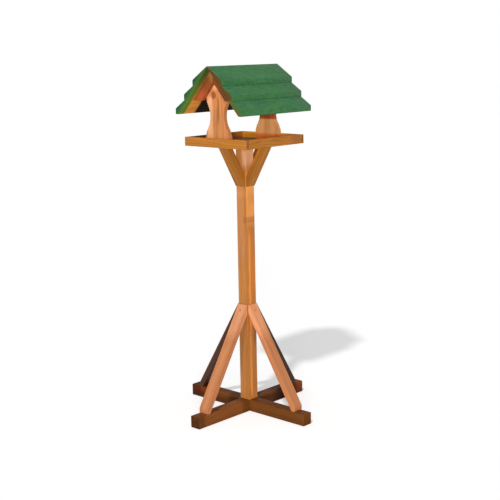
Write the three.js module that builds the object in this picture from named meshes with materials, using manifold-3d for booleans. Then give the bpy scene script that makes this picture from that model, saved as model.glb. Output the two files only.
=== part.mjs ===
// Garden bird table: a half-lapped cross base, a square post with four lower and four upper
// braces, a rimmed tray, and a pitched roof of lapped boards on two shaped end boards.
// Millimetres, +Z up. The origin is on the ground under the middle of the post. The ridge of
// the roof runs along Y, and the front of the table faces -Y.

import * as THREE from 'three';
import { mergeVertices } from 'three/addons/utils/BufferGeometryUtils.js';
import Module from 'manifold-3d';

const wasm = await Module();
wasm.setup();

// Base

const beam_length = 598;
const beam_width = 46;
const beam_height = 46;
const beam_arris = 4;
const lap_clearance = 0.3;
const lap_depth_share = 0.5;

// Post

const post_side = 49;
const post_length = 1000;
const post_arris = 4;

// Braces

const brace_width = 44;
const brace_thickness = 22;
const brace_arris = 3;
const brace_gap = 0.3;
const lower_brace_setback = 45;
const lower_brace_rise = 383;
const lower_brace_nose = 18;
const brace_tip_width = 4;
const upper_brace_setback = 38;
const upper_brace_drop = 157;

// Tray

const tray_side = 318;
const rim_height = 34;
const rim_thickness = 14;
const rim_arris = 3;
const floor_thickness = 10;
const floor_board_count = 3;
const floor_board_gap = 2;
const floor_arris = 2;
const tray_clearance = 0.3;

// End boards that carry the roof

const support_thickness = 18;
const support_foot_half_width = 60;
const support_foot_edge = 16;
const support_waist_half_width = 34.5;
const support_waist_share = 0.472;
const support_head_half_width = 54;
const support_head_share = 0.825;
const support_arris = 3;
const support_clearance = 0.3;

// Roof

const roof_overhang = 33;
const roof_rise = 288;
const roof_board_depth = 27;
const roof_board_lip = 18;
const roof_board_lap = 12;
const roof_board_exposure = 70.6;
const roof_board_tilt = 33.5;
const roof_board_arris = 3;
const ridge_board_face = 91;
const ridge_gap = 0.4;
const roof_lap_gap = 0.3;

// Rafters

const rafter_width = 18;
const rafter_depth = 35;
const rafter_foot_rise = 51;
const rafter_arris = 3;
const rafter_gap = 0.3;

// Screws

const screw_head_radius = 4;
const screw_head_depth = 2.6;
const screw_shank_radius = 2;
const screw_point_length = 5;
const screw_hole_clearance = 0.3;
const screw_sink = 0.5;
const long_screw_length = 65;
const brace_screw_length = 35;
const floor_screw_length = 25;
const rim_screw_length = 40;
const support_screw_length = 28;
const brace_screw_inset = 25;
const support_screw_spacing = 80;
const centre_screw_length = 110;
const centre_screw_radius = 4;
const centre_screw_head_radius = 8;
const centre_screw_head_depth = 5;
const centre_screw_recess = 2;

const cut_overrun = 5;
const ease_limit_share = 0.35;
const face_edge_share = 0.3;
const round_steps = 2;
const curve_steps = 10;
const screw_sides = 12;

// Wood and metal finishes

const finishes = {
  post: { color: 0xc98a55, roughness: 0.62, metalness: 0 },
  beam: { color: 0x86512d, roughness: 0.7, metalness: 0 },
  brace: { color: 0xc58c64, roughness: 0.64, metalness: 0 },
  tray: { color: 0xbd7e40, roughness: 0.64, metalness: 0 },
  floor: { color: 0xa96c3a, roughness: 0.7, metalness: 0 },
  support: { color: 0xcd824b, roughness: 0.62, metalness: 0 },
  rafter: { color: 0xb27a3e, roughness: 0.66, metalness: 0 },
  roof: { color: 0x437346, roughness: 0.75, metalness: 0 },
  screw: { color: 0x8a6038, roughness: 0.45, metalness: 0.4 },
};

// Heights and places that follow from the sizes above

const half_turn = Math.PI;
const quarter_turn = half_turn / 2;
const degrees = half_turn / 180;

const tray_bottom = beam_height + post_length;
const floor_top = tray_bottom + floor_thickness;
const post_half = post_side / 2;
const tray_half = tray_side / 2;
const tray_inner_half = tray_half - rim_thickness;
const support_face = tray_inner_half - support_clearance;
const ridge_height = floor_top + roof_rise;
const roof_length = tray_side + 2 * roof_overhang;
const lower_brace_reach = beam_length / 2 - lower_brace_setback;
const upper_brace_reach = tray_half - upper_brace_setback;

// Solids and booleans

function solidOf(geometry) {
  const bare = geometry.clone();
  bare.deleteAttribute('normal');
  bare.deleteAttribute('uv');
  const merged = mergeVertices(bare);
  return new wasm.Manifold(new wasm.Mesh({
    numProp: 3,
    vertProperties: new Float32Array(merged.attributes.position.array),
    triVerts: new Uint32Array(merged.index.array),
  }));
}

function geometryOf(solid) {
  const mesh = solid.getMesh();
  const geometry = new THREE.BufferGeometry();
  geometry.setAttribute('position', new THREE.BufferAttribute(mesh.vertProperties, mesh.numProp));
  geometry.setIndex(new THREE.BufferAttribute(mesh.triVerts, 1));
  geometry.computeVertexNormals();
  return geometry;
}

function without(geometry, cutters) {
  let solid = solidOf(geometry);
  for (const cutter of cutters) {
    solid = solid.subtract(solidOf(cutter));
  }
  return geometryOf(solid);
}

function boxBetween(low, high) {
  const size = high.map((value, i) => value - low[i]);
  const middle = high.map((value, i) => (value + low[i]) / 2);
  return new THREE.BoxGeometry(...size).translate(...middle);
}

// An outline whose corners are eased, by less where an edge is short

function easedShape(points, arris) {
  const shape = new THREE.Shape();
  points.forEach((point, i) => {
    const toBefore = points[(i + points.length - 1) % points.length].clone().sub(point);
    const toAfter = points[(i + 1) % points.length].clone().sub(point);
    const room = Math.min(toBefore.length(), toAfter.length());
    const ease = Math.min(arris, room * ease_limit_share);
    const entry = point.clone().add(toBefore.setLength(ease));
    const exit = point.clone().add(toAfter.setLength(ease));
    if (i === 0) {
      shape.moveTo(entry.x, entry.y);
    } else {
      shape.lineTo(entry.x, entry.y);
    }
    shape.quadraticCurveTo(point.x, point.y, exit.x, exit.y);
  });
  shape.closePath();
  return shape;
}

// A piece of wood with this outline and thickness, every edge eased

function board(shape, thickness, arris) {
  const edge = arris * face_edge_share;
  const geometry = new THREE.ExtrudeGeometry(shape, {
    depth: thickness - 2 * edge,
    curveSegments: round_steps,
    bevelEnabled: true,
    bevelThickness: edge,
    bevelSize: edge,
    bevelOffset: -edge,
    bevelSegments: round_steps,
  });
  return geometry.translate(0, 0, edge);
}

function rectanglePoints(left, bottom, right, top) {
  return [
    new THREE.Vector2(left, bottom),
    new THREE.Vector2(right, bottom),
    new THREE.Vector2(right, top),
    new THREE.Vector2(left, top),
  ];
}

// A stick of square-cut timber standing on its end, its centre line on the Z axis

function stick(width, depth, length, arris) {
  const outline = rectanglePoints(-width / 2, -depth / 2, width / 2, depth / 2);
  return board(easedShape(outline, arris), length, arris);
}

// A countersunk wood screw: its head faces +Z at the origin and its shank runs down

function screwGeometry(length, shankRadius, headRadius, headDepth, clearance, above) {
  const profile = [];
  profile.push(new THREE.Vector2(0, -length - clearance));
  profile.push(new THREE.Vector2(shankRadius + clearance, -length + screw_point_length));
  profile.push(new THREE.Vector2(shankRadius + clearance, -headDepth - clearance));
  profile.push(new THREE.Vector2(headRadius + clearance, 0));
  if (above > 0) {
    profile.push(new THREE.Vector2(headRadius + clearance, above));
  }
  profile.push(new THREE.Vector2(0, above));
  return new THREE.LatheGeometry(profile, screw_sides).rotateX(quarter_turn);
}

function woodScrew(length) {
  return screwGeometry(length, screw_shank_radius, screw_head_radius, screw_head_depth, 0, 0);
}

function woodScrewHole(length) {
  return screwGeometry(length, screw_shank_radius, screw_head_radius, screw_head_depth,
    screw_hole_clearance, cut_overrun);
}

// A place for a screw: where its head lies and the way that it is driven

function screwPlace(x, y, z, drive) {
  const back = drive.clone().negate().normalize();
  const turn = new THREE.Quaternion().setFromUnitVectors(new THREE.Vector3(0, 0, 1), back);
  const at = new THREE.Vector3(x, y, z).addScaledVector(back, -screw_sink);
  return new THREE.Matrix4().compose(at, turn, new THREE.Vector3(1, 1, 1));
}

function around(place, angle) {
  return new THREE.Matrix4().makeRotationZ(angle).multiply(place);
}

function holeAt(place, length) {
  return woodScrewHole(length).applyMatrix4(place);
}

const table = new THREE.Group();

function addPiece(name, geometry, finish, parent = table) {
  const mesh = new THREE.Mesh(geometry, new THREE.MeshStandardMaterial(finishes[finish]));
  mesh.name = name;
  parent.add(mesh);
  return mesh;
}

function addScrew(name, place, length, parent = table) {
  const mesh = addPiece(name, woodScrew(length), 'screw', parent);
  mesh.applyMatrix4(place);
  return mesh;
}

const down = new THREE.Vector3(0, 0, -1);
const up = new THREE.Vector3(0, 0, 1);

// The four ways that the braces face

const sides = [
  { name: 'right', angle: 0 },
  { name: 'back', angle: quarter_turn },
  { name: 'left', angle: half_turn },
  { name: 'front', angle: -quarter_turn },
];

// Lower braces: a plumb cut against the post, a level seat on the beam and a short upright nose.
// Their outlines are drawn in the plane of the post's axis, outward from it.

const lower_top_x = post_half + brace_gap;
const lower_foot_z = beam_height + brace_gap;
const lower_nose_top = new THREE.Vector2(lower_brace_reach, lower_foot_z + lower_brace_nose);
const tip_x = lower_top_x + brace_tip_width;
const lower_tip = new THREE.Vector2(tip_x, beam_height + lower_brace_rise);
const lower_run = lower_nose_top.clone().sub(lower_tip).normalize();
const lower_inward = new THREE.Vector2(lower_run.y, -lower_run.x);
const lower_inner_point = lower_tip.clone().addScaledVector(lower_inward, brace_thickness);

function onLine(point, direction, axis, value) {
  const share = (value - point[axis]) / direction[axis];
  return point.clone().addScaledVector(direction, share);
}

const lower_heel = onLine(lower_inner_point, lower_run, 'y', lower_foot_z);
const lower_armpit = onLine(lower_inner_point, lower_run, 'x', lower_top_x);
const lower_brace_points = [
  lower_armpit,
  lower_heel,
  new THREE.Vector2(lower_brace_reach, lower_foot_z),
  lower_nose_top,
  lower_tip,
  new THREE.Vector2(lower_top_x, lower_tip.y),
];

// Upper braces: a plumb cut against the post and a level cut under the tray

const upper_top_z = tray_bottom - brace_gap;
const upper_tip = new THREE.Vector2(tip_x, tray_bottom - upper_brace_drop);
const upper_shoulder = new THREE.Vector2(upper_brace_reach, upper_top_z);
const upper_run = upper_shoulder.clone().sub(upper_tip).normalize();
const upper_inward = new THREE.Vector2(-upper_run.y, upper_run.x);
const upper_inner_point = upper_tip.clone().addScaledVector(upper_inward, brace_thickness);
const upper_inner_top = onLine(upper_inner_point, upper_run, 'y', upper_top_z);
const upper_brace_points = [
  new THREE.Vector2(lower_top_x, upper_tip.y),
  upper_tip,
  upper_shoulder,
  upper_inner_top,
  onLine(upper_inner_point, upper_run, 'x', lower_top_x),
];

// Screws of one brace side, drawn for the brace that faces +X

function drive2(direction) {
  return new THREE.Vector3(direction.x, 0, direction.y);
}

const lower_top_screw_at = lower_tip.clone().addScaledVector(lower_run, brace_screw_inset);
const lower_top_screw = screwPlace(lower_top_screw_at.x, 0, lower_top_screw_at.y,
  drive2(lower_inward));
const lower_foot_screw_x = (lower_heel.x + lower_brace_reach) / 2;
const lower_foot_screw = screwPlace(lower_foot_screw_x, 0, 0, up);
const upper_foot_screw_at = upper_tip.clone().addScaledVector(upper_run, brace_screw_inset);
const upper_foot_screw = screwPlace(upper_foot_screw_at.x, 0, upper_foot_screw_at.y,
  drive2(upper_inward));
const upper_top_screw_x = (upper_inner_top.x + upper_brace_reach) / 2;
const upper_top_screw = screwPlace(upper_top_screw_x, 0, floor_top, down);

// Base cross: two beams halved into each other

function baseBeam() {
  const geometry = stick(beam_width, beam_height, beam_length, beam_arris);
  return geometry.translate(0, 0, -beam_length / 2).rotateX(quarter_turn).translate(0, 0, beam_height / 2);
}

const lap_half = beam_width / 2 + lap_clearance;
const lap_level = beam_height * lap_depth_share;
const lap_below = boxBetween(
  [-lap_half, -lap_half, -cut_overrun],
  [lap_half, lap_half, lap_level + lap_clearance / 2],
);
const lap_above = boxBetween(
  [-lap_half, -lap_half, lap_level - lap_clearance / 2],
  [lap_half, lap_half, beam_height + cut_overrun],
);

const centre_screw_seat = centre_screw_recess;
const centre_screw_hole = screwGeometry(centre_screw_length, centre_screw_radius,
  centre_screw_head_radius, centre_screw_head_depth, screw_hole_clearance,
  centre_screw_recess + cut_overrun).rotateX(half_turn).translate(0, 0, centre_screw_seat);

const side_holes = (place, length, wanted) => sides
  .filter((side) => wanted.includes(side.name))
  .map((side) => holeAt(around(place, side.angle), length));

addPiece('base_beam_front_to_back', without(baseBeam(), [
  lap_above,
  centre_screw_hole,
  ...side_holes(lower_foot_screw, long_screw_length, ['front', 'back']),
]), 'beam');

addPiece('base_beam_side_to_side', without(baseBeam().rotateZ(quarter_turn), [
  lap_below,
  centre_screw_hole,
  ...side_holes(lower_foot_screw, long_screw_length, ['left', 'right']),
]), 'beam');

const centre_screw = screwGeometry(centre_screw_length, centre_screw_radius,
  centre_screw_head_radius, centre_screw_head_depth, 0, 0).rotateX(half_turn);
addPiece('post_centre_screw', centre_screw, 'screw').position.set(0, 0, centre_screw_seat);

// Post

const every_side = sides.map((side) => side.name);
addPiece('post', without(
  stick(post_side, post_side, post_length, post_arris).translate(0, 0, beam_height),
  [
    centre_screw_hole,
    ...side_holes(lower_top_screw, brace_screw_length, every_side),
    ...side_holes(upper_foot_screw, brace_screw_length, every_side),
  ],
), 'post');

// Braces, one group for each way that they face

function braceGeometry(points, cutters) {
  const geometry = board(easedShape(points, brace_arris), brace_width, brace_arris);
  return without(geometry.rotateX(quarter_turn).translate(0, brace_width / 2, 0), cutters);
}

const lower_brace = braceGeometry(lower_brace_points, [
  holeAt(lower_top_screw, brace_screw_length),
  holeAt(lower_foot_screw, long_screw_length),
]);
const upper_brace = braceGeometry(upper_brace_points, [
  holeAt(upper_foot_screw, brace_screw_length),
  holeAt(upper_top_screw, floor_screw_length),
]);

for (const side of sides) {
  const group = new THREE.Group();
  group.rotation.z = side.angle;
  table.add(group);
  addPiece(`lower_brace_${side.name}`, lower_brace, 'brace', group);
  addPiece(`upper_brace_${side.name}`, upper_brace, 'brace', group);
  addScrew(`lower_brace_top_screw_${side.name}`, lower_top_screw, brace_screw_length, group);
  addScrew(`lower_brace_foot_screw_${side.name}`, lower_foot_screw, long_screw_length, group);
  addScrew(`upper_brace_foot_screw_${side.name}`, upper_foot_screw, brace_screw_length, group);
  addScrew(`upper_brace_top_screw_${side.name}`, upper_top_screw, floor_screw_length, group);
}

// Tray rims: the front and back rims run over the ends of the side rims

const rim_middle = tray_bottom + rim_height / 2;

function rim(length) {
  return stick(rim_thickness, rim_height, length, rim_arris).translate(0, 0, -length / 2);
}

const side_rim_length = tray_side - 2 * (rim_thickness + tray_clearance);
const rim_centre = tray_half - rim_thickness / 2;
const corner_screws = [];
const support_screws = [];
for (const [end, y_sign] of [['front', -1], ['back', 1]]) {
  const drive = new THREE.Vector3(0, -y_sign, 0);
  for (const [hand, x_sign] of [['left', -1], ['right', 1]]) {
    const corner = screwPlace(x_sign * rim_centre, y_sign * tray_half, rim_middle, drive);
    corner_screws.push({ name: `rim_screw_${end}_${hand}`, place: corner });
    const screw_z = floor_top + (rim_height - floor_thickness) / 2;
    const foot = screwPlace(x_sign * support_screw_spacing / 2, y_sign * tray_half, screw_z, drive);
    support_screws.push({ name: `support_screw_${end}_${hand}`, place: foot });
  }
}
const corner_holes = corner_screws.map((screw) => holeAt(screw.place, rim_screw_length));
const support_holes = support_screws.map((screw) => holeAt(screw.place, support_screw_length));

for (const [end, y_sign] of [['front', -1], ['back', 1]]) {
  const across = rim(tray_side).rotateX(quarter_turn).rotateZ(quarter_turn);
  across.translate(0, y_sign * rim_centre, rim_middle);
  addPiece(`tray_rim_${end}`, without(across, [...corner_holes, ...support_holes]), 'tray');
}
for (const [hand, x_sign] of [['left', -1], ['right', 1]]) {
  const along = rim(side_rim_length).rotateX(quarter_turn).translate(x_sign * rim_centre, 0, rim_middle);
  addPiece(`tray_rim_${hand}`, without(along, corner_holes), 'tray');
}
for (const screw of corner_screws) {
  addScrew(screw.name, screw.place, rim_screw_length);
}
for (const screw of support_screws) {
  addScrew(screw.name, screw.place, support_screw_length);
}

// Tray floor boards, from left to right, flush with the bottom of the rims

const floor_room = 2 * (tray_inner_half - tray_clearance);
const floor_board_width = (floor_room - (floor_board_count - 1) * floor_board_gap) / floor_board_count;
const floor_names = ['left', 'middle', 'right'];
for (let i = 0; i < floor_board_count; i += 1) {
  const x = -floor_room / 2 + floor_board_width / 2 + i * (floor_board_width + floor_board_gap);
  const plank = stick(floor_board_width, floor_thickness, floor_room, floor_arris);
  plank.translate(0, 0, -floor_room / 2).rotateX(quarter_turn);
  plank.translate(x, 0, tray_bottom + floor_thickness / 2);
  const label = floor_names[i] ?? `${i + 1}`;
  addPiece(`tray_floor_board_${label}`,
    without(plank, side_holes(upper_top_screw, floor_screw_length, every_side)), 'floor');
}

// Roof boards: their backs are flat and lie in one plane. Each outer face is tilted less than the
// roof, so that a board is thickest at its lower edge, and a lip there laps over the thin head of
// the board below. The lower edges are cut plumb, and the eave is cut level below. All outlines
// are drawn for the right slope, x outward from the ridge.

const tilt = roof_board_tilt * degrees;
const lap_rise = roof_board_lip + roof_lap_gap;
const pitch = tilt + Math.asin(lap_rise / roof_board_exposure);
const down_board = new THREE.Vector2(Math.cos(tilt), -Math.sin(tilt));
const down_slope = new THREE.Vector2(Math.cos(pitch), -Math.sin(pitch));
const slope_normal = new THREE.Vector2(Math.sin(pitch), Math.cos(pitch));
const ridge_top = new THREE.Vector2(0, ridge_height);
const top_edge = ridge_top.clone().addScaledVector(down_board, ridge_board_face);
const top_back = top_edge.clone().addScaledVector(slope_normal, -roof_board_depth);
const butt_height = roof_board_lip / Math.cos(tilt);
const roof_rows = ['top', 'middle', 'bottom'];

function roofBoardPoints(row) {
  const edge = top_edge.clone().addScaledVector(down_slope, row * roof_board_exposure);
  const under = new THREE.Vector2(edge.x, edge.y - butt_height);
  const above = edge.clone().addScaledVector(down_slope, -roof_board_exposure);
  const head_x = row === 0 ? ridge_gap / 2 : above.x - roof_board_lap;
  const points = [onLine(top_back, down_slope, 'x', head_x)];
  if (row === roof_rows.length - 1) {
    points.push(onLine(top_back, down_slope, 'y', under.y));
  } else {
    const step_x = under.x - roof_board_lap - roof_lap_gap;
    points.push(onLine(top_back, down_slope, 'x', step_x), onLine(under, down_board, 'x', step_x));
  }
  points.push(under, edge, onLine(edge, down_board, 'x', head_x));
  return points;
}

// What carries the roof bears on the boards' backs

const bearing = top_back.clone().addScaledVector(slope_normal, -rafter_gap);

function slopePiece(points, length, arris, hand) {
  const outline = hand > 0 ? points : points.map((p) => new THREE.Vector2(-p.x, p.y)).reverse();
  return board(easedShape(outline, arris), length, arris).rotateX(quarter_turn);
}

roof_rows.forEach((row, i) => {
  for (const [hand, sign] of [['left', -1], ['right', 1]]) {
    const geometry = slopePiece(roofBoardPoints(i), roof_length, roof_board_arris, sign);
    addPiece(`roof_board_${hand}_${row}`, geometry, 'roof').position.y = roof_length / 2;
  }
});

// Rafters: battens under the roof, fixed to the outer faces of the end boards, plumb cut at the
// ridge and level cut at the foot

const eave_height = roofBoardPoints(roof_rows.length - 1)[1].y;
const rafter_foot_z = eave_height + rafter_foot_rise;
const rafter_under = bearing.clone().addScaledVector(slope_normal, -rafter_depth);
const rafter_points = [
  onLine(rafter_under, down_slope, 'x', ridge_gap / 2),
  onLine(rafter_under, down_slope, 'y', rafter_foot_z),
  onLine(bearing, down_slope, 'y', rafter_foot_z),
  onLine(bearing, down_slope, 'x', ridge_gap / 2),
];
for (const [hand, sign] of [['left', -1], ['right', 1]]) {
  const geometry = slopePiece(rafter_points, rafter_width, rafter_arris, sign);
  const front = addPiece(`rafter_front_${hand}`, geometry, 'rafter');
  front.position.y = -support_face - rafter_gap;
  const back = addPiece(`rafter_back_${hand}`, geometry, 'rafter');
  back.position.y = support_face + rafter_gap + rafter_width;
}

// End boards: a wide foot on the tray floor, a waist, and a head cut to the pitch of the roof

const head_peak = onLine(bearing, down_slope, 'x', 0);
const head_side_top = onLine(bearing, down_slope, 'x', support_head_half_width);
const side_rise = head_side_top.y - floor_top;
const waist_z = floor_top + side_rise * support_waist_share;
const head_z = floor_top + side_rise * support_head_share;
const foot_z = floor_top + support_foot_edge;

function waistCurve(from, to) {
  const middle = (from.y + to.y) / 2;
  const curve = new THREE.CubicBezierCurve(
    from,
    new THREE.Vector2(from.x, middle),
    new THREE.Vector2(to.x, middle),
    to,
  );
  return curve.getPoints(curve_steps);
}

const right_edge = [
  new THREE.Vector2(support_foot_half_width, floor_top),
  ...waistCurve(
    new THREE.Vector2(support_foot_half_width, foot_z),
    new THREE.Vector2(support_waist_half_width, waist_z),
  ),
  ...waistCurve(
    new THREE.Vector2(support_waist_half_width, waist_z),
    new THREE.Vector2(support_head_half_width, head_z),
  ).slice(1),
  head_side_top,
];
const left_edge = right_edge.map((p) => new THREE.Vector2(-p.x, p.y)).reverse();

function supportShape() {
  const shape = new THREE.Shape();
  const outline = [...right_edge, head_peak, ...left_edge];
  outline.forEach((p, i) => (i === 0 ? shape.moveTo(p.x, p.y) : shape.lineTo(p.x, p.y)));
  shape.closePath();
  return shape;
}

for (const [end, y_sign] of [['front', -1], ['back', 1]]) {
  const geometry = board(supportShape(), support_thickness, support_arris).rotateX(quarter_turn);
  geometry.translate(0, support_thickness / 2 + y_sign * (support_face - support_thickness / 2), 0);
  addPiece(`roof_support_${end}`, without(geometry, support_holes), 'support');
}

export default table;
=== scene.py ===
"""Looks for the bird table: stained softwood, a green lapped roof and brown-coated screws."""

import math

import bpy
from mathutils import Matrix, Vector


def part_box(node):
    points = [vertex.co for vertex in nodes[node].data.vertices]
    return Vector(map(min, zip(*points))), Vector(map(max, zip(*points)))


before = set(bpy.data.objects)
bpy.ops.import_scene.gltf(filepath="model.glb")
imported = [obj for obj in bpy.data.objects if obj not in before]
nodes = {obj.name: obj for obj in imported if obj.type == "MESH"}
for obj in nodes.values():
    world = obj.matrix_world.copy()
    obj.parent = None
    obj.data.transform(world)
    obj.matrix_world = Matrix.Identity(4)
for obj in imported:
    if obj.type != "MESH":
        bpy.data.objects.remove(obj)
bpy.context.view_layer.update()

MM = 0.001
UP, RIGHT, BACK = (0, 0, 1), (1, 0, 0), (0, 1, 0)
LEFT, FRONT = (-1, 0, 0), (0, -1, 0)
FRONT_RIGHT = (0.7071, -0.7071, 0)

# Camera, fitted to the photograph. Its focal length is in frame widths.

CAMERA_AT = Vector((2.8162, -2.9943, 1.4211))
CAMERA_HEADING = math.radians(43.0513)
CAMERA_DOWN = math.radians(10.7726)
CAMERA_ROLL = math.radians(-1.0452)
CAMERA_FOCAL = 1084.99 / 500
CAMERA_REACH = 200
SENSOR = 36.0

# Light: a high lamp that throws the shadow, a low one beside the camera, and a pale sky.
# Each lamp is given by its bearing from -Y towards +X and its height, both in degrees, by its
# strength, and by its width in degrees.

LAMPS = {
    "high": (25.5, 50.0, 1.42, 3.5),
    "low": (41.0, 4.0, 2.15, 9.0),
}
SKY_STRENGTH = 0.22

# Floor: the share of light that it gives back, what it adds where it is seen, its half width, and
# how far it lies below the object

FLOOR_SHARE = 0.92
FLOOR_GLOW = 0.45
FLOOR_REACH = 30.0
FLOOR_GAP = 0.4 * MM


def linear(value):
    """A colour written as 0xRRGGBB, as Blender's linear numbers."""
    channels = [((value >> shift) & 255) / 255 for shift in (16, 8, 0)]
    return [c / 12.92 if c <= 0.04045 else ((c + 0.055) / 1.055) ** 2.4 for c in channels] + [1.0]


class Net:
    """Builds a shader node tree. A value is a number, a tuple or another node's output socket."""

    # The sockets of a Mix node that mixes colours: several of them have the same name
    MIX_SHARE, MIX_FIRST, MIX_SECOND, MIX_COLOUR = 0, 6, 7, 2

    def __init__(self, tree):
        self.tree = tree

    def node(self, kind, **props):
        made = self.tree.nodes.new(kind)
        for key, value in props.items():
            setattr(made, key, value)
        return made

    def put(self, socket, value):
        """Links a value to an input socket, or sets it there."""
        if isinstance(value, bpy.types.NodeSocket):
            self.tree.links.new(value, socket)
        else:
            socket.default_value = value

    def put_all(self, sockets, values):
        for socket, value in zip(sockets, values):
            self.put(socket, value)

    def math(self, operation, *values, clamp=False):
        made = self.node("ShaderNodeMath", operation=operation, use_clamp=clamp)
        self.put_all(made.inputs, values)
        return made.outputs[0]

    def times(self, first, *others):
        """The product of these numbers."""
        for other in others:
            first = self.math("MULTIPLY", first, other)
        return first

    def vector(self, operation, *values):
        made = self.node("ShaderNodeVectorMath", operation=operation)
        self.put_all(made.inputs, values)
        return made.outputs["Value" if operation in ("DOT_PRODUCT", "LENGTH") else "Vector"]

    def scaled(self, vector, scale):
        """A place with its axes scaled, or a colour with its channels tinted."""
        return self.vector("MULTIPLY", vector, scale)

    def shaded(self, colour, share):
        """A colour, all of its channels multiplied by one number."""
        return self.scaled(colour, self.join(share, share, share))

    def mix(self, share, first, second):
        made = self.node("ShaderNodeMix", data_type="RGBA")
        self.put(made.inputs[self.MIX_SHARE], share)
        self.put(made.inputs[self.MIX_FIRST], first)
        self.put(made.inputs[self.MIX_SECOND], second)
        return made.outputs[self.MIX_COLOUR]

    def smooth(self, value, low, high, to_low=0.0, to_high=1.0):
        """Runs softly from to_low to to_high while value goes from low to high."""
        made = self.node("ShaderNodeMapRange", interpolation_type="SMOOTHSTEP")
        self.put_all(made.inputs, (value, low, high, to_low, to_high))
        return made.outputs[0]

    def fall(self, value, low, high):
        """Falls softly from 1 to 0 while value goes from low to high."""
        return self.smooth(value, low, high, 1.0, 0.0)

    def noise(self, vector, scale, detail=2.0, roughness=0.5, distortion=0.0):
        made = self.node("ShaderNodeTexNoise")
        self.put(made.inputs["Vector"], vector)
        made.inputs["Scale"].default_value = scale
        made.inputs["Detail"].default_value = detail
        made.inputs["Roughness"].default_value = roughness
        made.inputs["Distortion"].default_value = distortion
        return made.outputs[0]

    def split(self, vector):
        made = self.node("ShaderNodeSeparateXYZ")
        self.put(made.inputs[0], vector)
        return made.outputs[0], made.outputs[1], made.outputs[2]

    def join(self, x, y, z):
        made = self.node("ShaderNodeCombineXYZ")
        self.put_all(made.inputs, (x, y, z))
        return made.outputs[0]

    def group(self, tree, **values):
        """A node of this group, with values for its named inputs. Gives its outputs."""
        made = self.node("ShaderNodeGroup", node_tree=tree)
        for key, value in values.items():
            self.put(made.inputs[key], value)
        return made.outputs


VECTOR, FLOAT = "NodeSocketVector", "NodeSocketFloat"


def new_group(name, inputs, outputs):
    """An empty node group: its net, its given sockets and the sockets that it fills."""
    tree = bpy.data.node_groups.new(name, "ShaderNodeTree")
    for label, kind in inputs:
        tree.interface.new_socket(label, in_out="INPUT", socket_type=kind)
    for label in outputs:
        tree.interface.new_socket(label, in_out="OUTPUT", socket_type=FLOAT)
    net = Net(tree)
    return net, net.node("NodeGroupInput").outputs, net.node("NodeGroupOutput").inputs


# How timber varies: waves to the metre along the grain and across it, then the noise's detail,
# roughness and distortion. Bend and tremor move the rings, and wander moves the edges of marks.

TIMBER_NOISE = {
    "bend": ((2.2, 9.0, 9.0),),
    "tremor": ((12.0, 80.0, 80.0), 3.0),
    "fibre": ((14.0, 520.0, 520.0), 4.0, 0.62),
    "blotch": ((3.4, 14.0, 14.0), 3.0, 0.6, 0.4),
    "streak": ((1.6, 60.0, 60.0), 3.0, 0.55),
    "wander": ((14.0, 3.0, 3.0),),
}
SEED_STEPS = (3.71, 1.93, 5.17)
RING_BEND, RING_TREMOR = 30 * MM, 2.6 * MM
LATE_WOOD_STARTS, LATE_WOOD_ENDS = (0.25, 0.86), (0.90, 1.0)
PALEST_YEAR = 0.4


def timber_group():
    """Growth rings round a pith on the local X axis, with fibres, blotches and streaks."""
    net, given, out = new_group(
        "Timber",
        [("Vector", VECTOR), ("Spacing", FLOAT), ("Bend", FLOAT), ("Seed", FLOAT)],
        ["Ring", "Fibre", "Blotch", "Streak", "Wander"],
    )
    offset = net.join(*[net.times(given["Seed"], step) for step in SEED_STEPS])

    def varied(name):
        waves, *noise = TIMBER_NOISE[name]
        at = net.vector("ADD", net.scaled(given["Vector"], waves), offset)
        return net.noise(at, 1.0, *noise)

    def swing(name):
        return net.math("SUBTRACT", varied(name), 0.5)

    _, y, z = net.split(given["Vector"])
    radius = net.math("SQRT", net.math("ADD", net.times(y, y), net.times(z, z)))
    radius = net.math("MULTIPLY_ADD", swing("bend"), RING_BEND, radius)
    radius = net.math("MULTIPLY_ADD", swing("tremor"), RING_TREMOR, radius)
    radius = net.math("ADD", radius, given["Bend"])
    phase = net.math("DIVIDE", radius, given["Spacing"])
    share = net.math("FRACT", phase)
    late = net.times(net.smooth(share, *LATE_WOOD_STARTS), net.fall(share, *LATE_WOOD_ENDS))
    year = net.node("ShaderNodeTexWhiteNoise", noise_dimensions="1D")
    net.put(year.inputs["W"], net.math("ADD", net.math("FLOOR", phase), given["Seed"]))
    strength = net.math("MULTIPLY_ADD", year.outputs["Value"], 1 - PALEST_YEAR, PALEST_YEAR)
    net.put(out["Ring"], net.times(late, strength))
    net.put(out["Fibre"], varied("fibre"))
    net.put(out["Blotch"], varied("blotch"))
    net.put(out["Streak"], varied("streak"))
    net.put(out["Wander"], swing("wander"))
    return net.tree


# A knot: its stretch along the grain, its uneven outline, how it bends the rings round it, and
# where its core, bark and halo lie, in shares of its radius

KNOT_STRETCH = (0.78, 1.0, 1.0)
KNOT_WAVES, KNOT_UNEVEN = 160.0, 0.5
KNOT_ROOT = 8 * MM
KNOT_BEND_FALL, KNOT_BEND_SIZE = -0.28, 1.5
CORE_ENDS = (0.70, 1.05)
BARK_STARTS, BARK_ENDS = (0.68, 0.92), (1.0, 1.3)
HALO_ENDS = (0.9, 2.6)


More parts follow.
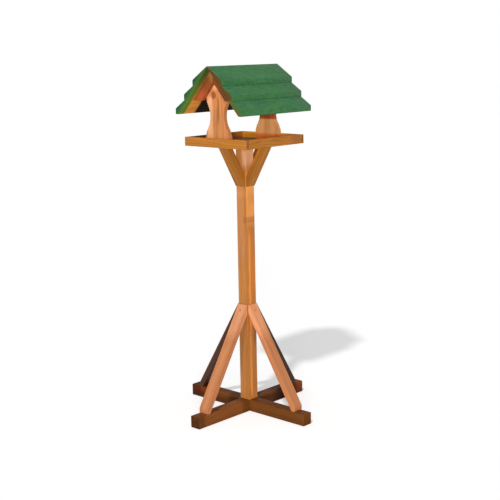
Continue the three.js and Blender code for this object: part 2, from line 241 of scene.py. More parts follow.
def knot_group():
    """One branch that leaves the pith at At, turned by Angle about it."""
    net, given, out = new_group(
        "Knot",
        [("Vector", VECTOR), ("At", FLOAT), ("Angle", FLOAT), ("Radius", FLOAT)],
        ["Bend", "Core", "Bark", "Halo"],
    )
    toward = net.join(0.0, net.math("COSINE", given["Angle"]), net.math("SINE", given["Angle"]))
    from_root = net.vector("SUBTRACT", given["Vector"], net.join(given["At"], 0.0, 0.0))
    along = net.vector("DOT_PRODUCT", from_root, toward)
    across = net.vector("SUBTRACT", from_root, net.shaded(toward, along))
    far = net.vector("LENGTH", net.scaled(across, KNOT_STRETCH))
    uneven = net.math("SUBTRACT", net.noise(given["Vector"], KNOT_WAVES), 0.5)
    share = net.math("MULTIPLY_ADD", uneven, KNOT_UNEVEN, net.math("DIVIDE", far, given["Radius"]))
    live = net.smooth(along, 0.0, KNOT_ROOT)
    near = net.math("EXPONENT", net.times(share, share, KNOT_BEND_FALL))
    net.put(out["Bend"], net.times(near, given["Radius"], KNOT_BEND_SIZE, live))
    net.put(out["Core"], net.times(net.fall(share, *CORE_ENDS), live))
    net.put(out["Bark"], net.times(net.smooth(share, *BARK_STARTS), net.fall(share, *BARK_ENDS), live))
    net.put(out["Halo"], net.times(net.fall(share, *HALO_ENDS), live))
    return net.tree


def edge_group():
    """1 along the edges of a box of these half sizes, falling to 0 within Width."""
    net, given, out = new_group(
        "Edges", [("Vector", VECTOR), ("Half", VECTOR), ("Width", FLOAT)], ["Edge"])
    inward = net.vector("SUBTRACT", given["Half"], net.vector("ABSOLUTE", given["Vector"]))
    a, b, c = net.split(inward)
    nearer, farther = net.math("MINIMUM", a, b), net.math("MAXIMUM", a, b)
    second = net.math("MAXIMUM", nearer, net.math("MINIMUM", farther, c))
    net.put(out["Edge"], net.fall(second, 0.0, given["Width"]))
    return net.tree


TIMBER, KNOT, EDGES = timber_group(), knot_group(), edge_group()

# Early wood and late wood of each stain, how dark its end grain is, and its knots where it has any

STAINS = {
    "post": {"early": 0xB97839, "late": 0x95551C, "end": 0.55},
    "lower_brace": {"early": 0xC28053, "late": 0xA56035, "end": 0.7},
    "upper_brace": {"early": 0xB9741B, "late": 0x90500C, "end": 0.55},
    "tray": {"early": 0xBA7725, "late": 0x975512, "end": 0.6},
    "floor": {"early": 0x945430, "late": 0x763E1E, "knot": 0x6E3A1A, "end": 0.6},
    "support": {"early": 0xD08A51, "late": 0xAF632F, "knot": 0x863E0F, "end": 0.7},
    # Painted light: the far end board is stained much lighter than the near one, against the shade under
    # the roof.
    "far_support_painted_light": {"early": 0xF3BC79, "late": 0xF3914A, "knot": 0xCC672D, "end": 0.7},
    "rafter": {"early": 0x9B5223, "late": 0x79350F, "end": 0.6},
    "beam": {"early": 0x784618, "late": 0x532C0B, "knot": 0x361A05, "end": 0.52},
    "soffit": {"early": 0xF3A849, "late": 0xD17C2C, "end": 0.7},
}


class Grain:
    """A timber's own axes: along its grain, across its wide face, and through it.

    Its middle and its half sizes come from the node's box where they aren't given.
    """

    def __init__(self, node, along, across, middle=None, half=None):
        low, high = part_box(node)
        self.along = Vector(along).normalized()
        self.across = Vector(across).normalized()
        self.through = self.along.cross(self.across)
        self.middle = (low + high) / 2 if middle is None else Vector(middle)
        spread = high - low
        own = [sum(abs(axis[i]) * spread[i] for i in range(3)) / 2 for axis in self.axes()]
        self.half = Vector(own if half is None else half)

    def axes(self):
        return self.along, self.across, self.through

    def turn(self):
        return Matrix(self.axes()).transposed().to_euler()


class Mark:
    """A stripe or a patch of another colour on a timber.

    along is its range along the timber, and side its range across or through it, both from the
    timber's middle. soft and soft_along say how softly it ends, and stray how far its sides wander.
    """

    def __init__(self, colour, strength, along, side, axis="across", soft=2 * MM, soft_along=12 * MM,
                 stray=6 * MM):
        self.colour, self.strength = colour, strength
        self.along, self.side, self.axis = along, side, axis
        self.soft, self.soft_along, self.stray = soft, soft_along, stray

    def laid(self, net, colour, local, wander):
        """This colour with the mark on it."""
        along, across, through = net.split(local)
        side = net.math("MULTIPLY_ADD", wander, self.stray, across if self.axis == "across" else through)
        share = self.strength
        ranges = ((along, self.along, self.soft_along), (side, self.side, self.soft))
        for place, (low, high), soft in ranges:
            starts = net.smooth(place, low - soft, low + soft)
            share = net.times(share, starts, net.fall(place, high - soft, high + soft))
        return net.mix(share, colour, linear(self.colour))


SEED_FACTOR, SEED_COUNT, SEEDS_PER_UNIT = 31, 9973, 163.0


def seed_of(name):
    """A number from 0 to about 60 that is the same for this name in each run."""
    total = 0
    for letter in name:
        total = (total * SEED_FACTOR + ord(letter)) % SEED_COUNT
    return total / SEEDS_PER_UNIT


def new_material(name):
    material = bpy.data.materials.new(name)
    material.use_nodes = True
    material.node_tree.nodes.clear()
    net = Net(material.node_tree)
    shader = net.node("ShaderNodeBsdfPrincipled")
    net.put(net.node("ShaderNodeOutputMaterial").inputs["Surface"], shader.outputs[0])
    return material, net, shader


def own_place(net, place, grain):
    """A place in the timber's own axes, from its middle."""
    mapping = net.node("ShaderNodeMapping", vector_type="TEXTURE")
    net.put(mapping.inputs["Vector"], place)
    mapping.inputs["Location"].default_value = grain.middle
    mapping.inputs["Rotation"].default_value = grain.turn()
    return mapping.outputs[0]


def knot_layers(net, from_pith, pith, knots):
    """How far the knots bend the rings, and where their cores, barks and halos show."""
    bend, core, bark, halo = 0.0, 0.0, 0.0, 0.0
    for at, across, through, radius in knots:
        angle = math.atan2(through - pith[1], across - pith[0])
        knot = net.group(KNOT, Vector=from_pith, At=at, Angle=angle, Radius=radius)
        bend = net.math("ADD", bend, knot["Bend"])
        core = net.math("MAXIMUM", core, knot["Core"])
        bark = net.math("MAXIMUM", bark, knot["Bark"])
        halo = net.math("MAXIMUM", halo, knot["Halo"])
    return bend, core, bark, halo


# How the layers of a timber show: ranges of a noise with the shares or shades that they give,
# shares of a knot's parts, and tints

STREAKS = (0.32, 0.72, 0.0, 0.45)
BLOTCHES = (0.35, 0.75, 1.08, 0.84)
FIBRES = (0.25, 0.75, 0.86, 1.12)
HALO_SHARE, CORE_SHARE, BARK_SHARE, BARK_SHADE = 0.35, 0.85, 0.6, 0.6
END_FACES = (0.80, 0.96)
END_TINT = (1.0, 1.02, 0.95)
EDGE_WIDTH = 4.5 * MM
RUB_WAVES, RUB_DETAIL, RUBBED = 24.0, 3.0, (0.38, 0.68)
LEAST_WEAR, MOST_WEAR = 0.10, 0.5
WORN_TINT = (1.35, 1.32, 1.28)

# Relief and gloss

RING_HEIGHT, FIBRE_HEIGHT, BARK_DEPTH = -0.35, 0.65, 0.6
RELIEF_STRENGTH, RELIEF_DEPTH = 0.55, 0.5 * MM
ROUGHNESS, FIBRE_ROUGHNESS, END_ROUGHNESS = 0.50, 0.22, 0.2


def wood_layers(net, grain, stain, seed, pith, spacing, knots, contrast, marks=(), wear=1.0):
    """The colour, the roughness and the height of one stained timber, and the sockets behind them.

    pith is its place across and through the timber, spacing is that of the rings, and each knot has
    its place along, across and through the timber, and its radius.
    """
    place = net.node("ShaderNodeTexCoord").outputs["Object"]
    local = own_place(net, place, grain)
    from_pith = net.vector("SUBTRACT", local, (0.0, *pith))
    bend, core, bark, halo = knot_layers(net, from_pith, pith, knots)
    timber = net.group(TIMBER, Vector=from_pith, Spacing=spacing, Bend=bend, Seed=seed)
    ring, fibre = timber["Ring"], timber["Fibre"]
    colours = STAINS[stain]
    early, late = linear(colours["early"]), linear(colours["late"])
    colour = net.mix(net.times(ring, contrast), early, late)
    colour = net.mix(net.smooth(timber["Streak"], *STREAKS), colour, late)
    for mark in marks:
        colour = mark.laid(net, colour, local, timber["Wander"])
    shade = net.times(net.smooth(timber["Blotch"], *BLOTCHES), net.smooth(fibre, *FIBRES))
    colour = net.shaded(colour, shade)
    if knots:
        knot_colour = linear(colours["knot"])
        bark_colour = [c * BARK_SHADE for c in knot_colour[:3]] + [1.0]
        colour = net.mix(net.times(halo, HALO_SHARE), colour, late)
        colour = net.mix(net.times(core, CORE_SHARE), colour, knot_colour)
        colour = net.mix(net.times(bark, BARK_SHARE), colour, bark_colour)
    normal = net.node("ShaderNodeTexCoord").outputs["Normal"]
    end = net.math("ABSOLUTE", net.vector("DOT_PRODUCT", normal, tuple(grain.along)))
    end = net.smooth(end, *END_FACES)
    sawn = tuple(colours["end"] * channel for channel in END_TINT)
    colour = net.mix(end, colour, net.scaled(colour, sawn))
    edge = net.group(EDGES, Vector=local, Half=tuple(grain.half), Width=EDGE_WIDTH)["Edge"]
    rub = net.noise(local, RUB_WAVES, RUB_DETAIL)
    worn = net.times(edge, net.smooth(rub, *RUBBED, LEAST_WEAR * wear, MOST_WEAR * wear))
    colour = net.mix(worn, colour, net.scaled(colour, WORN_TINT))
    height = net.math("MULTIPLY_ADD", ring, RING_HEIGHT, net.times(fibre, FIBRE_HEIGHT))
    height = net.math("SUBTRACT", height, net.times(bark, BARK_DEPTH))
    rough = net.math("MULTIPLY_ADD", fibre, FIBRE_ROUGHNESS, ROUGHNESS)
    rough = net.math("ADD", rough, net.times(end, END_ROUGHNESS), clamp=True)
    sockets = {"place": place, "local": local, "normal": normal, "end": end, "rub": rub, "ring": ring}
    return colour, rough, height, sockets


def finish_wood(net, shader, colour, rough, height, shine):
    relief = net.node("ShaderNodeBump")
    relief.inputs["Strength"].default_value = RELIEF_STRENGTH
    relief.inputs["Distance"].default_value = RELIEF_DEPTH
    net.put(relief.inputs["Height"], height)
    net.put(shader.inputs["Normal"], relief.outputs[0])
    net.put(shader.inputs["Base Color"], colour)
    net.put(shader.inputs["Roughness"], rough)
    shader.inputs["Specular IOR Level"].default_value = shine


def dress(node, material):
    """Gives a CAD node this material."""
    mesh = nodes[node]
    if not mesh.material_slots:
        mesh.data.materials.append(material)
    mesh.material_slots[0].material = material


def wood(node, stain, grain, pith=(0.02, -0.05), spacing=4.5 * MM, knots=(), contrast=0.75, marks=(),
         shade=None, wear=1.0, shine=0.3):
    """Dresses a node as a timber of this stain. shade changes its colour last."""
    material, net, shader = new_material(f"wood_{node}")
    colour, rough, height, parts = wood_layers(
        net, grain, stain, seed_of(node), pith, spacing, knots, contrast, marks, wear)
    if shade:
        colour = shade(net, colour, parts)
    finish_wood(net, shader, colour, rough, height, shine)
    dress(node, material)


# A pair of heights below the ground, so that a tint between them is whole on all of the object

EVERYWHERE = (-2 * MM, -1 * MM)

# The cosine from which a face begins to look some way, and from which it wholly does

FACING = (0.3, 0.6)


def painted_light_steps(*steps):
    """Painted light and shade, made of steps (low, high, tint, way).

    Each tint grows from the first height to the second, upwards or downwards, and shows on the
    faces towards way, or on all of them where way is None.
    """
    def shade(net, colour, parts):
        z = net.split(parts["place"])[2]
        for low, high, tint, way in steps:
            share = net.smooth(z, low, high)
            if way:
                towards = net.vector("DOT_PRODUCT", parts["normal"], way)
                share = net.times(share, net.smooth(towards, *FACING))
            colour = net.mix(share, colour, net.scaled(colour, tint))
        return colour
    return shade


# Post. A mark across it is a stripe on its front and its back, or colours all of its right face
# where it starts 24 mm out. A mark through it is a stripe on its left and right faces.

# Painted light: the post is lighter towards its top, where the tray's shadow falls on it.
POST_TOP_PAINTED_LIGHT = (0.83, 0.88, (1.3, 1.3, 1.3), None)
POST_MARKS = [
    # Painted light: the whole right face lighter and more orange.
    Mark(0xDC8838, 0.30, (-0.52, 0.52), (0.0240, 0.030), soft=0.4 * MM, stray=0),
    # Painted light on the upper right face, where the tray's shadow falls.
    Mark(0xF4A052, 0.70, (0.20, 0.40), (0.0240, 0.030), soft=0.4 * MM, soft_along=0.03, stray=0),
    Mark(0x9C5C2A, 0.60, (-0.52, 0.54), (0.0222, 0.0240), soft=0.4 * MM, stray=0),
    Mark(0xEE923C, 0.80, (-0.48, 0.16), (-0.015, -0.004), "through", soft=1.5 * MM, soft_along=0.03),
    Mark(0xD06A28, 0.50, (-0.12, 0.16), (-0.002, 0.008), "through", soft=1.5 * MM, soft_along=0.03),
    # Painted shade low on the right face, beside the right lower brace.
    Mark(0x8A5A28, 0.75, (-0.28, -0.17), (0.006, 0.026), "through", soft_along=0.02),
    Mark(0xBE7E4C, 0.65, (0.06, 0.38), (-0.032, 0.014), soft=4 * MM, soft_along=0.04),
    Mark(0xB08050, 0.45, (-0.48, 0.10), (-0.026, -0.014), soft=4 * MM, soft_along=0.04),
    Mark(0x8E5222, 0.45, (0.203, 0.226), (0.008, 0.032), soft=4 * MM, soft_along=5 * MM),
    # Painted light just under the tray, on the right of the front face and on the right face.
    Mark(0xEAB88E, 0.50, (0.42, 0.54), (0.008, 0.032), soft=3 * MM, soft_along=0.02),
]

wood("post", "post", Grain("post", UP, RIGHT), pith=(-0.034, -0.012), spacing=6.2 * MM, contrast=0.5,
     wear=0.0, shade=painted_light_steps(POST_TOP_PAINTED_LIGHT), marks=POST_MARKS)

# Base beams, darker towards the ground, and with a painted shade, darker and redder, to the back and the
# left

DAMP_UNEVEN = 20 * MM
DAMP = (4 * MM, 45 * MM, 0.72, 1.0)
REAR, REAR_PAINTED_SHADE = (0.04, 0.24), (0.98, 0.57, 0.30)
WHOLE_SIDE = (-0.03, 0.03)


def beam_damp_and_painted_shade(net, colour, parts):
    x, y, z = net.split(parts["place"])
    above_ground = net.math("MULTIPLY_ADD", parts["rub"], DAMP_UNEVEN, z)
    colour = net.shaded(colour, net.smooth(above_ground, *DAMP))
    # Painted shade: darker and redder to the back and the left.
    back = net.smooth(net.math("SUBTRACT", y, x), *REAR)
    return net.mix(back, colour, net.scaled(colour, REAR_PAINTED_SHADE))


wood("base_beam_front_to_back", "beam", Grain("base_beam_front_to_back", BACK, RIGHT),
     pith=(0.01, -0.045), spacing=5 * MM, knots=[(-0.19, 0.004, 0.023, 0.006)], shade=beam_damp_and_painted_shade,
     shine=0.1,
     marks=[
         Mark(0x9C5828, 0.5, (-0.27, -0.06), WHOLE_SIDE),
         # Painted shade, nearly black, on the back arm under its brace.
         Mark(0x2A0E04, 0.8, (0.13, 0.22), WHOLE_SIDE, soft_along=0.03),
         Mark(0x96603A, 0.7, (0.262, 0.31), WHOLE_SIDE, soft_along=8 * MM),
     ])
wood("base_beam_side_to_side", "beam", Grain("base_beam_side_to_side", RIGHT, BACK),
     pith=(-0.03, -0.03), spacing=5.5 * MM, shade=beam_damp_and_painted_shade, shine=0.1,
     marks=[
         Mark(0xA85A20, 0.9, (0.2985, 0.31), WHOLE_SIDE, soft_along=1 * MM),
         # Painted shade at the end of the left arm.
         Mark(0x2A1408, 0.6, (-0.31, -0.25), WHOLE_SIDE, soft_along=0.01),
     ])

# Braces: each runs down its own slope in the plane of the post's axis

SIDES = {"right": RIGHT, "back": BACK, "left": LEFT, "front": FRONT}
LOWER_RUN = Vector((0.5254, -0.8509))
UPPER_RUN = Vector((0.5075, 0.8617))
BRACE_HALF = (0.30, 0.022, 0.011)
BRACE_PITH_SWAY, BRACE_PITH_TURN, BRACE_PITH_DEPTH = 0.02, 5, 0.035
# Painted light: the right and front lower braces lighter and pinker towards their heads.
BRACE_HEAD_PAINTED_LIGHT = (0.29, 0.35, (1.4, 1.55, 1.85), None)
# Painted shade: the left and back lower braces nearly black on the faces that look to the front and the
# right.
BRACE_SHADOW = (*EVERYWHERE, (0.105, 0.078, 0.052), FRONT_RIGHT)
BRACE_PAINTED_LIGHT_AND_SHADE = {
    "right": painted_light_steps(BRACE_HEAD_PAINTED_LIGHT),
    "front": painted_light_steps(BRACE_HEAD_PAINTED_LIGHT),
    "left": painted_light_steps(BRACE_SHADOW),
    "back": painted_light_steps(BRACE_SHADOW),
}

for side, out in SIDES.items():
    outward = Vector(out)
    width = Vector(UP).cross(outward)
    for level, run in (("lower", LOWER_RUN), ("upper", UPPER_RUN)):
        node = f"{level}_brace_{side}"
        along = outward * run.x + Vector(UP) * run.y
        sway = BRACE_PITH_SWAY * math.sin(seed_of(node) * BRACE_PITH_TURN)
        wood(node, f"{level}_brace", Grain(node, along, width, half=BRACE_HALF),
             pith=(sway, BRACE_PITH_DEPTH), spacing=5.2 * MM, contrast=0.55,
             shade=BRACE_PAINTED_LIGHT_AND_SHADE[side] if level == "lower" else None)

# Tray. The back rim's inner face carries painted light, and the left rim's inner face a patch of painted
# shade.

RIM_INSIDE_PAINTED_LIGHT = painted_light_steps((*EVERYWHERE, (1.80, 1.80, 1.25), FRONT))
RIM_MARKS = {
    # Painted shade inside the left rim, by the foot of the near end board.
    "left": [Mark(0x3A1204, 0.90, (-0.15, -0.05), (-0.001, 0.02), "through", stray=0)],
    "right": [Mark(0x8E4E26, 0.55, (0.09, 0.16), WHOLE_SIDE, soft_along=0.02)],
}

for side, along in (("front", RIGHT), ("back", RIGHT), ("left", BACK), ("right", BACK)):
    node = f"tray_rim_{side}"
    wood(node, "tray", Grain(node, along, UP), pith=(0.012, -0.03), spacing=4 * MM, contrast=0.7,
         marks=RIM_MARKS.get(side, ()), shade=RIM_INSIDE_PAINTED_LIGHT if side == "back" else None)
for side in ("left", "middle", "right"):
    node = f"tray_floor_board_{side}"
    wood(node, "floor", Grain(node, BACK, RIGHT), pith=(0.01, -0.04), spacing=5 * MM,
         knots=[(0.04, 0.01, 0.005, 0.005)])

# End boards and rafters. Both end boards carry painted light on their heads, the near one most at its
# peak. The far end board carries a painted shadow under the roof and a darker, redder painted shade at
# its foot, but only on the faces that look to the front and the right.

SUPPORT_MARKS = {
    "front": [
        Mark(0x96501F, 0.75, (-0.060, 0.035), (0.003, 0.012), soft=2.5 * MM, soft_along=0.02),
        Mark(0xB87038, 0.50, (-0.10, 0.09), (0.018, 0.030), soft=3 * MM, soft_along=0.03),
        Mark(0xF4BC8C, 0.60, (-0.12, 0.05), (-0.048, -0.022), soft=4 * MM, soft_along=0.03),
        # Painted light near the top of the near end board.
        Mark(0xF2B07A, 0.50, (0.06, 0.12), (-0.030, 0.020), soft=5 * MM, soft_along=0.02),
    ],
    "back": [Mark(0xC07A40, 0.5, (-0.12, 0.02), (-0.01, 0.02), soft=4 * MM, soft_along=0.03)],
}
SUPPORT_KNOTS = {"front": [(0.040, -0.0149, -0.009, 0.0095)], "back": [(-0.02, 0.02, 0.009, 0.006)]}
# Painted light on the heads of the end boards.
HEAD_PAINTED_LIGHT = (1.15, 1.24, (1.3, 1.3, 1.3), None)
SUPPORT_PAINTED_LIGHT_AND_SHADE = {
    # The near end board: more painted light at its peak. The far one: a painted shadow under the roof,
    # and a darker, redder painted shade at its foot.
    "front": painted_light_steps(HEAD_PAINTED_LIGHT, (1.252, 1.266, (1.6, 1.4, 1.3), None)),
    "back": painted_light_steps(HEAD_PAINTED_LIGHT, (1.131, 1.138, (0.55, 0.22, 0.09), FRONT_RIGHT),
                      (1.084, 1.074, (1.00, 0.55, 0.26), FRONT_RIGHT)),
}
RAFTER_RUN, RAFTER_RISE = 0.6624, -0.7492
RAFTER_MARKS = {
    "front_left": [
        Mark(0xC89A58, 0.55, (-0.12, -0.045), WHOLE_SIDE, soft_along=0.015),
        Mark(0xD06030, 0.40, (0.015, 0.12), WHOLE_SIDE, soft_along=0.02),
    ],
    # Painted shade on the front right rafter.
    "front_right": [Mark(0x5A3414, 0.60, (0.0, 0.12), WHOLE_SIDE, soft_along=0.03)],
}

for side, stain in (("front", "support"), ("back", "far_support_painted_light")):
    node = f"roof_support_{side}"
    wood(node, stain, Grain(node, UP, RIGHT), pith=(0.012, 0.05), spacing=6 * MM, contrast=0.6,
         knots=SUPPORT_KNOTS[side], marks=SUPPORT_MARKS[side], shade=SUPPORT_PAINTED_LIGHT_AND_SHADE[side])
    for hand, sign in (("left", -1), ("right", 1)):
        node = f"rafter_{side}_{hand}"
        wood(node, "rafter", Grain(node, (sign * RAFTER_RUN, 0, RAFTER_RISE), BACK),
             pith=(0.02, -0.03), marks=RAFTER_MARKS.get(f"{side}_{hand}", ()))

# Roof boards: green stain on their outer faces, and two colours on their ends, at the back and at the
# outer face. Underneath they are bare, with a painted strip along the gables, a darker, greenish peak of
# green paint with painted shade, and a painted shade, nearly black, inside between the end boards.
# Distances along the ridge are from its middle.

ROOF_TILT = math.radians(33.5)
ROOF_PITCH = math.radians(48.52)
BOARD_HALF = Vector((0.192, 0.045, 0.030))
GREENS = {"base": 0x417646, "blue": 0x307650, "dark": 0x2E5D37, "grey": 0x486A4D}
END_GREENS = {
    "left": (0x3A6428, 0x1C5232),
    "right": (0x663610, 0x524A1C),
    "right_bottom": (0x5E5A24, 0x40622E),
}
END_UNEVEN, END_CHANGES = 8 * MM, (7 * MM, 24 * MM)
# Painted shade, nearly black, inside between the end boards.
INSIDE_PAINTED_SHADE, INSIDE_SHADE_ENDS = 0x060200, (0.108, 0.120, 0.99, 0.0)
UNDER_PAINT, PAINT_STARTS = 0x48862E, (0.164, 0.171, 0.0, 0.9)
# Green paint darkened by painted shade towards the peak.
PEAK_PAINT_AND_SHADE, PEAK_PAINT_AND_SHADE_STARTS = 0x465428, (1.225, 1.325, 0.0, 0.85)
UNDER_UNEVEN = 4 * MM
OUTER_FACES = (-0.5, -0.2)

# How the green varies: waves to the metre along a board and across it, then the noise's detail,
# roughness and distortion, and the ranges of each noise with the shares or shades that they give

STAIN_SEED_STEPS = (1.0, 0.7, 0.3)
STAIN_NOISE = {
    "patch": ((9.0, 24.0, 24.0), 3.0, 0.6, 0.5),
    "cloud": ((5.0, 12.0, 12.0), 2.0),
    "brush": ((16.0, 300.0, 300.0), 4.0, 0.6),
    "mottle": ((60.0, 90.0, 90.0), 3.0, 0.6),
}
BLUE_PATCHES = (0.42, 0.72, 0.0, 0.7)
DARK_CLOUDS = (0.45, 0.75, 0.0, 0.55)
GREY_TO_THE_BACK = (0.05, 0.19, 0.0, 0.6)
RING_SHARE = 0.3
STROKES = (0.25, 0.75, 0.88, 1.12)
MOTTLING = (0.35, 0.7, 1.10, 0.82)
STAIN_ROUGHNESS, BRUSH_ROUGHNESS, BRUSH_HEIGHT = 0.58, 0.15, 0.3


def farthest(node, way):
    """The point of a node's mesh that lies farthest this way."""
    points = (vertex.co for vertex in nodes[node].data.vertices)
    return max(points, key=lambda point: point.dot(way)).copy()


def board_grain(node, sign):
    """A roof board's axes: along the ridge, down its outer face and through it.

    Its place is worked out from its lower edge.
    """
    down = Vector((sign * math.cos(ROOF_TILT), 0, -math.sin(ROOF_TILT)))
    outward = Vector((sign * math.sin(ROOF_TILT), 0, math.cos(ROOF_TILT)))
    lower_edge = farthest(node, down + outward)
    lower_edge.y = 0
    middle = lower_edge - down * BOARD_HALF.y - outward * BOARD_HALF.z
    return Grain(node, Vector(BACK) * -sign, down, middle=middle, half=BOARD_HALF)


def underside(net, colour, parts):
    _, y, z = net.split(parts["place"])
    from_middle = net.math("MULTIPLY_ADD", parts["rub"], UNDER_UNEVEN, net.math("ABSOLUTE", y))
    # Painted shade inside, green paint along the gables, and green paint with painted shade at the peak.
    colour = net.mix(net.smooth(from_middle, *INSIDE_SHADE_ENDS), colour, linear(INSIDE_PAINTED_SHADE))
    colour = net.mix(net.smooth(from_middle, *PAINT_STARTS), colour, linear(UNDER_PAINT))
    return net.mix(net.smooth(z, *PEAK_PAINT_AND_SHADE_STARTS), colour, linear(PEAK_PAINT_AND_SHADE))


def outer_stain(net, parts, noise, stroke):
    """The green of the outer faces, in patches and clouds, with dark rings, strokes and mottling."""
    base, blue, dark, grey = (linear(GREENS[name]) for name in ("base", "blue", "dark", "grey"))
    y = net.split(parts["place"])[1]
    green = net.mix(net.smooth(noise["patch"], *BLUE_PATCHES), base, blue)
    green = net.mix(net.smooth(noise["cloud"], *DARK_CLOUDS), green, dark)
    green = net.mix(net.smooth(y, *GREY_TO_THE_BACK), green, grey)
    green = net.mix(net.times(parts["ring"], RING_SHARE), green, dark)
    return net.shaded(net.shaded(green, stroke), net.smooth(noise["mottle"], *MOTTLING))


def end_stain(net, node, square, parts, stroke, greens):
    """The two colours of a board's ends: one at its back, which looks against square, and one above."""
    inner, outer = greens
    back_at = farthest(node, -square).dot(square)
    depth = net.math("SUBTRACT", net.vector("DOT_PRODUCT", parts["place"], tuple(square)), back_at)
    depth = net.math("MULTIPLY_ADD", parts["rub"], END_UNEVEN, depth)
    return net.shaded(net.mix(net.smooth(depth, *END_CHANGES), linear(inner), linear(outer)), stroke)


def roof_board(hand, row, sign):
    node = f"roof_board_{hand}_{row}"
    square = Vector((sign * math.sin(ROOF_PITCH), 0, math.cos(ROOF_PITCH)))
    material, net, shader = new_material(f"stained_{node}")
    seed = seed_of(node)
    colour, rough, height, parts = wood_layers(
        net, board_grain(node, sign), "soffit", seed, pith=(0.02, -0.05), spacing=6 * MM, knots=(),
        contrast=0.8)
    at = net.vector("ADD", parts["local"], [seed * step for step in STAIN_SEED_STEPS])
    noise = {name: net.noise(net.scaled(at, waves), 1.0, *rest)
             for name, (waves, *rest) in STAIN_NOISE.items()}
    stroke = net.smooth(noise["brush"], *STROKES)
    green = outer_stain(net, parts, noise, stroke)
    ends = end_stain(net, node, square, parts, stroke, END_GREENS.get(f"{hand}_{row}", END_GREENS[hand]))
    green = net.mix(parts["end"], green, ends)
    facing = net.vector("DOT_PRODUCT", parts["normal"], tuple(square))
    colour = net.mix(net.smooth(facing, *OUTER_FACES), underside(net, colour, parts), green)
    rough = net.math("MULTIPLY_ADD", noise["brush"], BRUSH_ROUGHNESS, STAIN_ROUGHNESS)
    height = net.math("ADD", height, net.times(noise["brush"], BRUSH_HEIGHT))
    finish_wood(net, shader, colour, rough, height, shine=0.15)
    dress(node, material)


for hand, sign in (("left", -1), ("right", 1)):
    for row in ("top", "middle", "bottom"):
        roof_board(hand, row, sign)

# Screws: a brown coat, a little darker where it is wiped, on metal that barely shows

COAT, WIPED_COAT, WIPED = 0xB47C46, 0x9A6636, (0.4, 0.7)
COAT_METAL = 0.15
COAT_ROUGHNESS, SPECK_ROUGHNESS = 0.3, 0.25
WIPE_WAVES, SPECK_WAVES, SPECK_DETAIL = 210.0, 900.0, 3.0


def coat_screws():
    material, net, shader = new_material("coated_screw")
    place = net.node("ShaderNodeTexCoord").outputs["Object"]
    wipe = net.smooth(net.noise(place, WIPE_WAVES), *WIPED)
    speck = net.noise(place, SPECK_WAVES, SPECK_DETAIL)
    rough = net.math("MULTIPLY_ADD", speck, SPECK_ROUGHNESS, COAT_ROUGHNESS)
    net.put(shader.inputs["Base Color"], net.mix(wipe, linear(COAT), linear(WIPED_COAT)))
    net.put(shader.inputs["Roughness"], rough)
    shader.inputs["Metallic"].default_value = COAT_METAL
    for node in nodes:
        if "screw" in node:
            dress(node, material)


coat_screws()

# Floor, light and camera

scene = bpy.context.scene


def seen_share(net):
    """1 where the camera looks straight, in a reflection or through glass, and 0 for light on things."""
    path = net.node("ShaderNodeLightPath")
    share = net.math("ADD", path.outputs["Is Camera Ray"], path.outputs["Is Glossy Ray"])
    return net.math("ADD", share, path.outputs["Is Transmission Ray"], clamp=True)


def floor_material():
    """Pale paper that also glows where it is seen."""
    material = bpy.data.materials.new("studio_floor")
    material.use_nodes = True
    material.node_tree.nodes.clear()
    net = Net(material.node_tree)
    paper = net.node("ShaderNodeBsdfDiffuse")
    paper.inputs["Color"].default_value = (FLOOR_SHARE, FLOOR_SHARE, FLOOR_SHARE, 1)
    glow = net.node("ShaderNodeEmission")
    net.put(glow.inputs["Strength"], net.times(seen_share(net), FLOOR_GLOW))
    both = net.node("ShaderNodeAddShader")
    net.put_all(both.inputs, (paper.outputs[0], glow.outputs[0]))
    net.put(net.node("ShaderNodeOutputMaterial").inputs["Surface"], both.outputs[0])
    return material


def add_floor():
    mesh = bpy.data.meshes.new("studio_floor")
    r = FLOOR_REACH
    mesh.from_pydata([(-r, -r, 0), (r, -r, 0), (r, r, 0), (-r, r, 0)], [], [(0, 1, 2, 3)])
    mesh.materials.append(floor_material())
    floor = bpy.data.objects.new("studio_floor", mesh)
    floor.location.z = -FLOOR_GAP
    scene.collection.objects.link(floor)


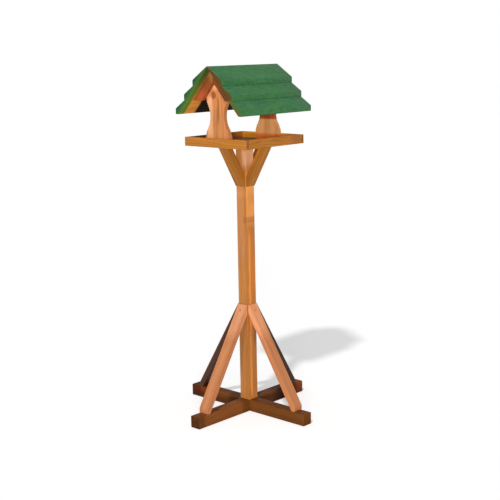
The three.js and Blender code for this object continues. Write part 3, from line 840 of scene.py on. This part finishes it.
def add_sky():
    """White where it is seen, and weaker as light on things."""
    world = bpy.data.worlds.new("studio")
    scene.world = world
    world.use_nodes = True
    world.node_tree.nodes.clear()
    net = Net(world.node_tree)
    sky = net.node("ShaderNodeBackground")
    sky.inputs["Color"].default_value = (1, 1, 1, 1)
    strength = net.math("MULTIPLY_ADD", seen_share(net), 1.0 - SKY_STRENGTH, SKY_STRENGTH)
    net.put(sky.inputs["Strength"], strength)
    net.put(net.node("ShaderNodeOutputWorld").inputs["Surface"], sky.outputs[0])


def add_lamp(name, bearing, height, strength, width):
    lamp = bpy.data.lights.new(name, "SUN")
    lamp.energy = strength
    lamp.angle = math.radians(width)
    turned, raised = math.radians(bearing), math.radians(height)
    level = Vector((math.sin(turned), -math.cos(turned), 0))
    source = level * math.cos(raised) + Vector(UP) * math.sin(raised)
    holder = bpy.data.objects.new(name, lamp)
    holder.rotation_mode = "QUATERNION"
    holder.rotation_quaternion = (-source).to_track_quat("-Z", "Y")
    scene.collection.objects.link(holder)


def add_camera():
    ahead = Vector((-math.sin(CAMERA_HEADING), math.cos(CAMERA_HEADING), 0))
    forward = ahead * math.cos(CAMERA_DOWN) - Vector(UP) * math.sin(CAMERA_DOWN)
    level = Vector((math.cos(CAMERA_HEADING), math.sin(CAMERA_HEADING), 0))
    upright = level.cross(forward)
    right = math.cos(CAMERA_ROLL) * level + math.sin(CAMERA_ROLL) * upright
    above = -math.sin(CAMERA_ROLL) * level + math.cos(CAMERA_ROLL) * upright
    lens = bpy.data.cameras.new("camera")
    lens.sensor_width = SENSOR
    lens.lens = CAMERA_FOCAL * SENSOR
    lens.clip_end = CAMERA_REACH
    camera = bpy.data.objects.new("camera", lens)
    turn = Matrix((right, above, -forward)).transposed().to_4x4()
    camera.matrix_world = Matrix.Translation(CAMERA_AT) @ turn
    scene.collection.objects.link(camera)
    scene.camera = camera


add_floor()
add_sky()
for name, settings in LAMPS.items():
    add_lamp(name, *settings)
add_camera()
scene.view_settings.view_transform = "Standard"
